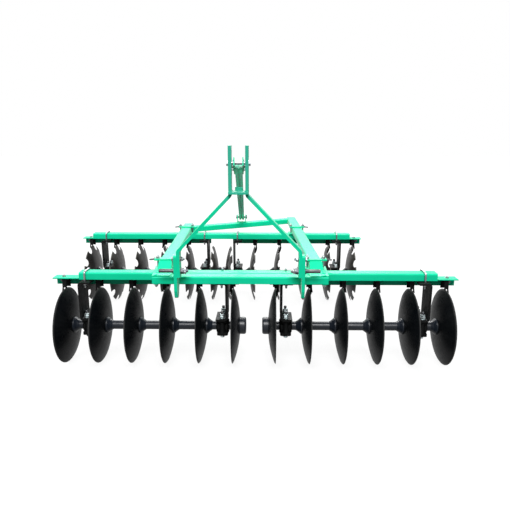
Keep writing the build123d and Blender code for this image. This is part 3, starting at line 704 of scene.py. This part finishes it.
def as_one(name, pieces, finish):
    """Join shapes into one piece and give it its finish."""
    only_select(*pieces)
    bpy.ops.object.join()
    pieces[0].name = name
    pieces[0].data.name = name
    pieces[0].data.materials.clear()
    pieces[0].data.materials.append(finish)
    return pieces[0]


def copied(template, name, moves):
    """Copy a template once for each matrix, join the copies and remove the template."""
    copies = []
    for move in moves:
        copy = bpy.data.objects.new(name, template.data.copy())
        bpy.context.scene.collection.objects.link(copy)
        copy.data.transform(move)
        copies.append(copy)
    piece = as_one(name, copies, template.data.materials[0])
    bpy.data.objects.remove(template)
    print(name, len(copies), "times,", len(piece.data.polygons), "faces")
    return piece


def lean_to(direction):
    """Matrix that leans +Z over to a direction."""
    return Vector(UP).rotation_difference(Vector(direction)).to_matrix().to_4x4()


def set_out(template, name, places):
    """Copy a template to (place, direction) pairs, each turned at random on its axis."""
    moves = []
    for place, direction in places:
        own_turn = Matrix.Rotation(turn_dice.uniform(0, math.tau), 4, "Z")
        moves.append(Matrix.Translation(place) @ lean_to(direction) @ own_turn)
    piece = copied(template, name, moves)
    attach(piece, "frame")

# %% Boxes of the solids
def solid_boxes(*names):
    """Boxes of the separate solids in CAD nodes, found in merged copies of their meshes."""
    boxes = []
    for name in names:
        grid = bmesh.new()
        grid.from_mesh(nodes[name].data)
        bmesh.ops.remove_doubles(grid, verts=grid.verts, dist=1e-5)
        left = set(grid.verts)
        while left:
            front = {left.pop()}
            solid = set(front)
            while front:
                reached = {edge.other_vert(vert) for vert in front for edge in vert.link_edges}
                front = reached & left
                left -= front
                solid |= front
            spread = [[vert.co[axis] for vert in solid] for axis in range(3)]
            boxes.append((Vector([min(row) for row in spread]), Vector([max(row) for row in spread])))
        grid.free()
    return sorted(boxes, key=lambda box: (box[0].x, box[0].y))

# %% [markdown]
# Every bearing is held to its hanger by two long bolts through both of its lugs. Above the
# hanger's foot stand a washer, a nut and a lock nut, the brightest spots on the gangs, and a
# good length of dull thread. The hexagon head is under the lower lug.

# %% Bearing bolts
hanger_plate = 0.012
lug_under = -0.109
bearing_bolt_y = 0.052
bearing_middles = [middle(box) for box in solid_boxes("front_bearings", "rear_bearings")]
foot_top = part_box("front_bearings")[1].z + hanger_plate
bearing_bolt = as_one("bearing_bolt", [
    hexagon(0.022, lug_under - 0.012, 0.012),
    rod(0.0064, lug_under, 0),
    washer(0.006, 0.0155, 0, 0.0025),
    hexagon(0.0290, 0.0025, 0.013),
    hexagon(0.0270, 0.0160, 0.010),
], pale_zinc)
bolt_end = as_one("bolt_end", [threaded(0.0088, 0.0255, 0.044)], dull_steel)
places = [
    ((spot.x, spot.y + side * bearing_bolt_y, foot_top), UP)
    for spot in bearing_middles for side in (-1, 1)
]
set_out(bearing_bolt, "bearing_bolts", places)
set_out(bolt_end, "bearing_bolt_ends", places)

# %% [markdown]
# The bearing housing is a casting. The CAD solid has its block and lugs, but not the round
# bosses that the bolts run through, the two stiffening ribs around the bore and the grease
# nipple in front. Bosses and ribs are lathe shapes sunk a little into the casting.

# %% Bearing bosses, ribs and grease nipples
boss_rise = 0.002
rib_offset = 0.025
nipple_lean = math.radians(14)
nipple_seat = 0.0455
boss = as_one("boss", [turned([
    (0, -0.036), (0.0185, -0.036), (0.0165, -0.031), (0.0150, -0.018), (0.0145, 0),
    (0.0150, 0.018), (0.0165, 0.031), (0.0185, 0.036), (0, 0.036),
], steps=24)], black_enamel)
rib = as_one("rib", [turned([
    (0.044, -0.0055), (0.0480, -0.0050), (0.0505, -0.0030), (0.0510, 0), (0.0505, 0.0030),
    (0.0480, 0.0050), (0.044, 0.0055), (0.044, -0.0055),
], steps=40)], black_enamel)
nipple = as_one("nipple", [
    hexagon(0.009, 0, 0.004),
    turned([
        (0, 0.003), (0.0032, 0.003), (0.0026, 0.006), (0.0024, 0.009), (0.0034, 0.0105),
        (0.0034, 0.012), (0.0022, 0.014), (0, 0.0145),
    ], steps=12),
], zinc_plate)
axle_height = disc_high.z / 2
nipple_aim = Vector((0, -math.cos(nipple_lean), -math.sin(nipple_lean)))
boss_places, rib_places, nipple_places = [], [], []
for spot in bearing_middles:
    bore = Vector((spot.x, spot.y, axle_height))
    for side in (-1, 1):
        boss_places.append(((spot.x, spot.y + side * bearing_bolt_y, spot.z + boss_rise), UP))
        rib_places.append(((spot.x + side * rib_offset, spot.y, axle_height), (1, 0, 0)))
    nipple_places.append((bore + nipple_aim * nipple_seat, nipple_aim))
set_out(boss, "bearing_bosses", boss_places)
set_out(rib, "bearing_ribs", rib_places)
set_out(nipple, "grease_nipples", nipple_places)

# %% [markdown]
# The U-bolts hug the carriers and pass through the gang beam and the hanger's foot. Below the
# foot each leg has a washer and a nut, and its end is threaded. The two inner hangers of the
# front row have nuts as well, for the hook bolts and studs that come next.

# %% U-bolt nuts
rod_radius = 0.006
m12_flats = 0.019
foot_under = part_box("front_hangers")[1].z - hanger_plate
leg_end = foot_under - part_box("u_bolts")[0].z
u_nut = as_one("u_nut", nut_on_washer(rod_radius, 0.0125, 0.0025, m12_flats, 0.010) + [
    threaded(rod_radius + 0.0004, 0.012, leg_end + 0.0005),
], zinc_plate)
places = []
for low, high in solid_boxes("u_bolts"):
    for leg_y in (low.y + rod_radius, high.y - rod_radius):
        places.append((((low.x + high.x) / 2, leg_y, foot_under), DOWN))
front_leg_y, rear_leg_y = sorted({round(place[0][1], 4) for place in places})[:2]
inner_x = [middle(box).x for box in solid_boxes("front_bearings")[1:3]]
for x in inner_x:
    places += [((x, leg_y, foot_under), DOWN) for leg_y in (front_leg_y, rear_leg_y)]
set_out(u_nut, "u_bolt_nuts", places)

# %% [markdown]
# The two inner hangers of the front row sit under the hitch beam, where no U-bolt can pass.
# Behind the carrier a hook bolt rises from the hanger's foot and lies over the carrier's rear
# edge; in front a short stud ends below the hitch beam. The hook is a rod: its end face is
# raised, spun a quarter turn for the bend and drawn out forward.

# %% Hook bolts
hook_bend_radius = 0.012
hook_reach = 0.022
hook_turns = 6
hook_low = foot_under - 0.020
hook_over_carrier = 0.0005
stud_length = 0.016
carrier_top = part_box("front_carrier")[1].z
hook_straight = carrier_top + rod_radius + hook_over_carrier - hook_bend_radius


def hook_bolt(x, leg_y):
    """Rod standing at (x, leg_y) and bent forward over the carrier."""
    bpy.ops.object.select_all(action="DESELECT")
    bpy.ops.mesh.primitive_circle_add(
        vertices=14, radius=rod_radius, fill_type="NGON", location=(x, leg_y, hook_low)
    )
    hook = settled()
    bpy.ops.object.mode_set(mode="EDIT")
    bpy.ops.mesh.select_mode(type="FACE")
    bpy.ops.mesh.select_all(action="SELECT")
    extrude((0, 0, hook_straight - hook_low))
    bend_middle = (x, leg_y - hook_bend_radius, hook_straight)
    bpy.ops.mesh.spin(steps=hook_turns, angle=math.pi / 2, center=bend_middle, axis=(-1, 0, 0))
    extrude((0, -hook_reach, 0))
    close_up(40)
    return hook


hooks = [hook_bolt(x, rear_leg_y) for x in inner_x]
studs = []
for x in inner_x:
    stud = rod(rod_radius, 0, stud_length)
    stud.data.transform(Matrix.Translation((x, front_leg_y, foot_under)))
    studs.append(stud)
hook_piece = as_one("hook_bolts", hooks + studs, zinc_plate)
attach(hook_piece, "frame")
print("hook bolts at x", [round(x, 3) for x in inner_x], "y", rear_leg_y)

# %% [markdown]
# Each scraper hangs from the gang beam's top flange by one bolt, a little outboard of its
# disc's rim. The head lies on the flange, mostly hidden inside the carrier; the washer and nut
# are under the scraper's foot.

# %% Scraper bolts
under_foot = -0.012
scraper_bolt_out = 0.009
scraper_bolt_y = 0.030
flange_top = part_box("gang_beam_front_left")[1].z
scraper_bolt = as_one("scraper_bolt", nut_on_washer(0.005, 0.0115, 0.0015, 0.018, 0.0075) + [
    washer(0.005, 0.0115, under_foot - 0.002, 0.002),
    hexagon(0.018, under_foot - 0.011, 0.009),
    turned([
        (0, under_foot - 0.018), (0.004, under_foot - 0.018), (0.0055, under_foot - 0.0165),
        (0.0055, 0), (0, 0),
    ], steps=12),
], zinc_plate)
row_middles = {}
places = []
for row in ("front", "rear"):
    axle_ends = [middle(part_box(f"axle_{row}_{side}")) for side in ("left", "right")]
    row_middles[row] = (axle_ends[0] + axle_ends[1]) / 2
    for box in solid_boxes(f"{row}_scrapers"):
        x = middle(box).x
        outward = scraper_bolt_out if x > row_middles[row].x else -scraper_bolt_out
        places.append(((x + outward, row_middles[row].y + scraper_bolt_y, flange_top), UP))
set_out(scraper_bolt, "scraper_bolts", places)
print("rows", {row: [round(v, 4) for v in spot] for row, spot in row_middles.items()})

# %% [markdown]
# Between the gang beam and each disc the scraper's bracket has a narrow front lip: the sheet is
# folded down ahead of the bolt, so that the bracket can't twist. Its wide part stops short of
# the disc's rim; a tongue goes on down beside the rim, on the hollow side. It could be a flat
# box; here a small grid is cut to this outline and thickened.

# %% Scraper lips
lip_half_width = 0.012
lip_tip_half_width = 0.009
lip_thickness = 0.005
rim_clearance = 0.006
tongue_from_rim = 0.0065
tongue_length = 0.024
tongue_flare = 0.006
tongue_drift = 0.004
foot_under_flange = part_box("front_scrapers")[1].z
foot_front = solid_boxes("front_scrapers")[0][0].y - row_middles["front"].y
lip_tip = disc_high.z + rim_clearance - foot_under_flange
bpy.ops.object.select_all(action="DESELECT")
bpy.ops.mesh.primitive_grid_add(
    x_subdivisions=2, y_subdivisions=1, size=2, location=(0, 0, 0), rotation=(math.pi / 2, 0, 0)
)
lip = settled()


def shift(piece, wanted, step):
    """Select the vertices that pass a test and move them by a step."""
    pick(piece, "VERT", wanted)
    bpy.ops.transform.translate(value=step)


shift(lip, lambda vert: vert.co.z > 0, (0, 0, -1))
bpy.ops.transform.resize(value=(lip_half_width, 1, 1), center_override=(0, 0, 0))
shift(lip, lambda vert: vert.co.z < -0.5, (0, 0, 1 + lip_tip))
bpy.ops.transform.resize(value=(lip_tip_half_width, 1, 1), center_override=(0, 0, lip_tip))
shift(lip, lambda vert: abs(vert.co.x) < lip_tip_half_width / 2, (tongue_from_rim, 0, 0))
outer_corner = lip_tip_half_width * 0.9
shift(
    lip, lambda vert: vert.co.z < lip_tip / 2 and vert.co.x > outer_corner, (tongue_flare, 0, 0)
)
pick(lip, "EDGE", lambda edge: all(
    vert.co.z < lip_tip / 2 and vert.co.x > tongue_from_rim / 2 for vert in edge.verts
))
extrude((tongue_drift, 0, -tongue_length))
bpy.ops.mesh.select_all(action="SELECT")
bpy.ops.transform.translate(value=(0, -lip_thickness / 2, 0))
extrude((0, lip_thickness, 0))
bpy.ops.mesh.select_all(action="SELECT")
bpy.ops.mesh.normals_make_consistent(inside=False)
bpy.ops.object.mode_set(mode="OBJECT")
as_one("scraper_lip", [lip], black_enamel)
moves = []
for row in ("front", "rear"):
    lip_y = row_middles[row].y + foot_front - lip_thickness / 2
    for box in solid_boxes(f"{row}_scrapers"):
        x = middle(box).x
        half_turns = 1 if x < row_middles[row].x else 0
        facing_out = Matrix.Rotation(math.pi * half_turns, 4, "Z")
        moves.append(Matrix.Translation((x, lip_y, foot_under_flange)) @ facing_out)
lips = copied(lip, "scraper_lips", moves)
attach(lips, "frame")
print("scraper lips reach down to", round(foot_under_flange + lip_tip, 3))

# %% [markdown]
# Near the outer end of every gang beam a hole in the upright flange takes a dark bolt.

# %% Gang beam end bolts
beam_end_inset = 0.036
end_bolt_height = 0.498
flange_front = 0.058
behind_flange = -0.006
end_bolt = as_one("end_bolt", nut_on_washer(0.006, 0.0135, 0.002, 0.017, 0.007) + [
    turned([
        (0, behind_flange - 0.012), (0.006, behind_flange - 0.012),
        (0.0075, behind_flange - 0.010), (0.0075, 0), (0, 0),
    ], steps=12),
    hexagon(0.017, behind_flange - 0.0085, 0.0085),
], dull_steel)
places = []
for row, spot in row_middles.items():
    left_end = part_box(f"gang_beam_{row}_left")[0].x
    right_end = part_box(f"gang_beam_{row}_right")[1].x
    for x in (left_end + beam_end_inset, right_end - beam_end_inset):
        places.append(((x, spot.y + flange_front, end_bolt_height), (0, -1, 0)))
set_out(end_bolt, "gang_beam_end_bolts", places)

# %% [markdown]
# Four clamp plates press the side beams down on the carriers. Each is pulled by two bolts that
# run beside the side beam; the beams stand a little askew, and so do the bolts' places. A
# short dark rod, the tail of a bent locking pin, sticks out of each plate's outer end.

# %% Clamp bolts and locking pins
beam_skew = math.radians(2.2)
clamp_bolt_out = 0.049
carrier_wall = 0.005
pin_droop = 0.12
m12_thread = 0.0058
across_beam = Vector((math.cos(beam_skew), math.sin(beam_skew), 0))
clamp_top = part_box("clamp_plates")[1].z
nut_seat = carrier_top - carrier_wall - clamp_top
clamp_bolt = as_one("clamp_bolt", nut_on_washer(0.006, 0.0125, 0.0022, m12_flats, 0.010) + [
    threaded(m12_thread, 0.012, 0.024),
    rod(m12_thread, nut_seat - 0.012, 0.001),
    hexagon(m12_flats, nut_seat - 0.010, 0.010),
    washer(0.006, 0.0125, nut_seat, 0.004),
], zinc_plate)
locking_pin = as_one("locking_pin", [
    turned([
        (0, -0.004), (0.0050, -0.004), (0.0050, 0.026), (0.0042, 0.031), (0.0030, 0.033),
        (0, 0.0335),
    ], steps=14),
    turned([
        (0.0045, 0.0), (0.0095, 0.0), (0.0100, 0.0015), (0.0095, 0.003), (0.0045, 0.003),
        (0.0045, 0.0),
    ], steps=16),
], dull_steel)
hitch_middle = middle(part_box("hitch_beam"))
bolt_places, pin_places = [], []
for low, high in solid_boxes("clamp_plates"):
    spot = middle((low, high))
    for side in (-1, 1):
        on_plate = Vector((spot.x, spot.y, clamp_top))
        bolt_places.append((on_plate + across_beam * side * clamp_bolt_out, UP))
    outward = -1 if spot.x < hitch_middle.x else 1
    end_x = low.x if outward < 0 else high.x
    end_y = spot.y + outward * math.tan(beam_skew) * (high.x - low.x) / 2
    pin_places.append(((end_x, end_y, spot.z), Vector((outward, 0, -pin_droop)).normalized()))
set_out(clamp_bolt, "clamp_bolts", bolt_places)
set_out(locking_pin, "clamp_locking_pins", pin_places)

# %% [markdown]
# At both its ends the hitch beam is held to the front carrier's plates by a pair of bolts: low
# round heads on top, painted with the frame, and nuts with the ends of the bolts below.

# %% Hitch beam bolts
pair_half = 0.025
outer_pair_inset = 0.022
strap_thickness = 0.005
hitch_low, hitch_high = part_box("hitch_beam")
seat_low, seat_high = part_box("seat_plates")
seat_thickness = seat_high.z - seat_low.z
strap_under = hitch_low.z - strap_thickness
drop = strap_under - hitch_high.z - seat_thickness
beam_bolt = as_one("beam_bolt", [
    rod(0.0056, drop, 0, steps=12),
    washer(0.005, 0.0125, drop - 0.002, 0.002),
    hexagon(m12_flats, drop - 0.012, 0.010),
    turned([
        (0, drop - 0.018), (0.0042, drop - 0.018), (0.0056, drop - 0.0165), (0.0056, drop),
        (0, drop),
    ], steps=12),
], zinc_plate)
round_head = as_one("round_head", [turned([
    (0, -0.001), (0.0125, -0.001), (0.0125, 0.0008), (0.0110, 0.0030), (0.0080, 0.0048),
    (0.0040, 0.0057), (0, 0.0060),
], steps=20, smooth=60)], green_enamel)
pair_x = (hitch_low.x + outer_pair_inset, hitch_high.x - outer_pair_inset)
places = [
    ((x, hitch_middle.y + side * pair_half, hitch_high.z + seat_thickness), UP)
    for x in pair_x for side in (-1, 1)
]
set_out(beam_bolt, "hitch_beam_bolts", places)
set_out(round_head, "hitch_beam_bolt_heads", places)

# %% [markdown]
# The hitch beam is open below, so each pair of bolts pulls on a strap that lies across the
# beam's two flanges. It is a cut piece of flat bar: a block with its upright edges rounded and
# a fine inset border on its top and bottom faces.

# %% Straps under the hitch beam
strap_width = 0.030
strap_short = 0.004
strap_length = hitch_high.y - hitch_low.y - strap_short


def block(size):
    """Block of a size around the origin."""
    bpy.ops.object.select_all(action="DESELECT")
    bpy.ops.mesh.primitive_cube_add(size=1, location=(0, 0, 0))
    bpy.context.active_object.scale = size
    return settled()


strap = block((strap_width, strap_length, strap_thickness))
break_edges(strap, lambda run: abs(run.z) > strap_thickness / 2, 0.006, 3)
pick(strap, "FACE", lambda face: abs(face.normal.z) > 0.9)
bpy.ops.mesh.inset(thickness=0.0008)
bpy.ops.object.mode_set(mode="OBJECT")
as_one("strap", [strap], green_enamel)
strap_z = strap_under + strap_thickness / 2
straps = copied(strap, "hitch_beam_straps", [
    Matrix.Translation((x, hitch_middle.y, strap_z)) for x in pair_x
])
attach(straps, "frame")
print("straps under the hitch beam at x", [round(x, 3) for x in pair_x])

# %% [markdown]
# Each hitch plate is bolted to the mast's foot twice. The lower bolt is the hitch pin itself,
# whose big nut gets a washer and a bright lock nut; above it is a plain bolt.

# %% Hitch plate hardware
upper_bolt_height = 0.690
mast_bar = 0.018
m16_thread = 0.0078
m16_flats = 0.024
nut_washer = 0.0025
pin_middle = middle(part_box("hitch_pins"))
lock_nut = as_one("lock_nut", nut_on_washer(0.009, 0.0185, 0.003, 0.030, 0.013) + [
    threaded(0.0098, 0.015, 0.027),
], zinc_plate)
plates = [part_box("hitch_plate_left"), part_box("hitch_plate_right")]
left_pin, right_pin = solid_boxes("hitch_pins")
inward_left, inward_right = (1, 0, 0), (-1, 0, 0)
set_out(lock_nut, "hitch_pin_lock_nuts", [
    ((left_pin[1].x, pin_middle.y, pin_middle.z), inward_left),
    ((right_pin[0].x, pin_middle.y, pin_middle.z), inward_right),
])


def through_bolt(name, thread, end, grip, hole, rim, flats, nut, head):
    """Bolt with a nut and its end above the seat, and its head below what it grips."""
    return as_one(name, nut_on_washer(hole, rim, nut_washer, flats, nut) + [
        threaded(thread, nut + 0.002, end),
        rod(thread, -grip, 0),
        washer(hole, rim, -grip - nut_washer, nut_washer),
        hexagon(flats, -grip - nut_washer - head, head),
    ], zinc_plate)


through = mast_bar + plates[0][1].x - plates[0][0].x
plate_bolt = through_bolt(
    "plate_bolt", m16_thread, 0.024, through, 0.007, 0.0165, m16_flats, nut=0.0125, head=0.010
)
set_out(plate_bolt, "hitch_plate_bolts", [
    ((plates[0][0].x + through, pin_middle.y, upper_bolt_height), inward_left),
    ((plates[1][1].x - through, pin_middle.y, upper_bolt_height), inward_right),
])

# %% [markdown]
# Below its top pin the stay's clevis is bolted between the two flat bars, with two bolts that
# stand across the slope.

# %% Stay bolts
clevis_half = 0.027
bolts_from_top = (0.072, 0.122)
across_stay = Vector((-along_stay.y, along_stay.x, 0)).normalized()
stay_bolt = through_bolt(
    "stay_bolt", m12_thread, 0.020, 2 * clevis_half, 0.006, 0.0135, m12_flats, nut=0.010, head=0.008
)
set_out(stay_bolt, "stay_bolts", [
    (stay_top + along_stay * distance - across_stay * clevis_half, -across_stay)
    for distance in bolts_from_top
])

# %% [markdown]
# A packing strip keeps the stay's two bars apart, a little inside their edges. It is modelled
# lying along Y and then laid in the stay's own directions.

# %% Packing strip
packing_thickness = 0.0055
packing_depth = 0.036
packing_ends = (0.060, 0.030)
packing_length = (stay_foot - stay_top).length - sum(packing_ends)
packing = block((packing_thickness, packing_length, packing_depth))
break_edges(packing, lambda run: abs(run.y) < packing_length / 2, 0.0012, 2)
stay_normal = across_stay.cross(along_stay)
packing_middle = stay_top + along_stay * (packing_ends[0] + packing_length / 2)
stay_frame = Matrix((-across_stay, along_stay, -stay_normal)).transposed().to_4x4()
packing.data.transform(Matrix.Translation(packing_middle) @ stay_frame)
as_one("stay_packing", [packing], stay_paint)
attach(packing, "frame")
print("stay packing", round(packing_length, 3), "m long")

# %% [markdown]
# The stay's lower pin is kept by a split pin at each end: an eye of round wire with two short
# legs. The eye is a thin ring and the legs are lathe shapes, spread a little.

# %% Split pins
eye_radius = 0.0046
wire_radius = 0.0013
eye_rise = 0.019
eye_centre = 0.022
leg_spread = 0.07
pin_end_inset = 0.0035
pin_axis = (0.0, -0.35, 1.0)
bpy.ops.object.select_all(action="DESELECT")
bpy.ops.mesh.primitive_torus_add(
    major_radius=eye_radius, minor_radius=wire_radius, major_segments=18, minor_segments=8,
    location=(0, 0, eye_centre),
)
eye = settled()
eye.data.transform(Matrix.Translation((0, eye_centre, eye_rise)) @ Matrix.Rotation(math.pi / 2, 4, "X"))
legs = []
for side in (-1, 1):
    leg = turned([
        (0, -0.019), (0.0010, -0.019), (wire_radius, -0.017), (wire_radius, 0.0150), (0, 0.0155),
    ], steps=8)
    leg.data.transform(Matrix.Rotation(side * leg_spread, 4, "Y"))
    legs.append(leg)
split_pin = as_one("split_pin", [eye] + legs, zinc_plate)
pin_low, pin_high = solid_boxes("stay_lower_pin")[0]
set_out(split_pin, "split_pins", [
    ((pin_low.x + pin_end_inset, stay_foot.y, stay_foot.z), pin_axis),
    ((pin_high.x - pin_end_inset, stay_foot.y, stay_foot.z), pin_axis),
])

# %% [markdown]
# Welds join what isn't bolted: the hitch plates to the hitch beam, the brace plate to the mast,
# the tie bar to the side beams and the stay's bracket to the tie bar. A bead is a row of small
# overlapping puddles, so it is spun from a rippled profile as long as its seam, half buried in
# the corner, and painted over with the frame.

# %% Weld beads
bead_radius = 0.0038
ripple = 0.0045
seam_end = 0.004


def weld(start, end):
    """Rippled bead from start to end."""
    run = Vector(end) - Vector(start)
    puddles = max(2, round(run.length / ripple))
    step = run.length / puddles
    profile = [(0, 0)]
    for puddle in range(puddles):
        hollow = (bead_radius * 0.78, (puddle + 0.08) * step)
        crest = (bead_radius, (puddle + 0.62) * step)
        profile += [hollow, crest]
    profile += [(bead_radius * 0.6, run.length), (0, run.length)]
    bead = turned(profile, steps=10, smooth=60)
    bead.data.transform(Matrix.Translation(start) @ lean_to(run))
    return bead


beads = []
for plate_low, plate_high in plates:
    for x in (plate_low.x, plate_high.x):
        seam_low = (x, hitch_low.y, hitch_low.z + 0.002)
        beads.append(weld(seam_low, (x, hitch_low.y, hitch_high.z - 0.012)))
brace_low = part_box("mast_brace_plate")[0].z
brace_thickness = 0.012
left_bar, right_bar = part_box("mast_leg_left"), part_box("mast_leg_right")
bar_front, bar_back = left_bar[0].y + seam_end, left_bar[1].y - seam_end
for x in (left_bar[1].x, right_bar[0].x):
    for z in (brace_low, brace_low + brace_thickness):
        beads.append(weld((x, bar_front, z), (x, bar_back, z)))
foot_low, foot_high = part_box("stay_bracket")
for x in (foot_low.x, foot_high.x):
    seam_front = (x, foot_low.y + seam_end, foot_low.z)
    beads.append(weld(seam_front, (x, foot_high.y - seam_end, foot_low.z)))

# %% [markdown]
# The tie bar is slanted and the side beams are askew, so the seams at its two ends are worked
# out: the bar meets each beam's inner face over a length that grows with the slant.

# %% Tie bar welds
side_beam_half = 0.040
side_beam_out = 0.457
tie_run = 0.822
tie_y_left, tie_y_right = 0.515, 0.895
tie_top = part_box("tie_bar")[1].z
tie_slant = math.atan2(tie_y_right - tie_y_left, tie_run)
seam_half = side_beam_half / math.cos(tie_slant) - 0.006
for side, tie_y in ((-1, tie_y_left), (1, tie_y_right)):
    seam = []
    for y in (tie_y - seam_half, tie_y + seam_half):
        beam_x = hitch_middle.x - math.tan(beam_skew) * (y - hitch_middle.y)
        seam.append((beam_x + side * (side_beam_out - side_beam_half), y, tie_top - 0.001))
    beads.append(weld(seam[0], seam[1]))
weld_piece = as_one("weld_beads", beads, green_enamel)
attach(weld_piece, "frame")
print("weld beads:", len(beads))
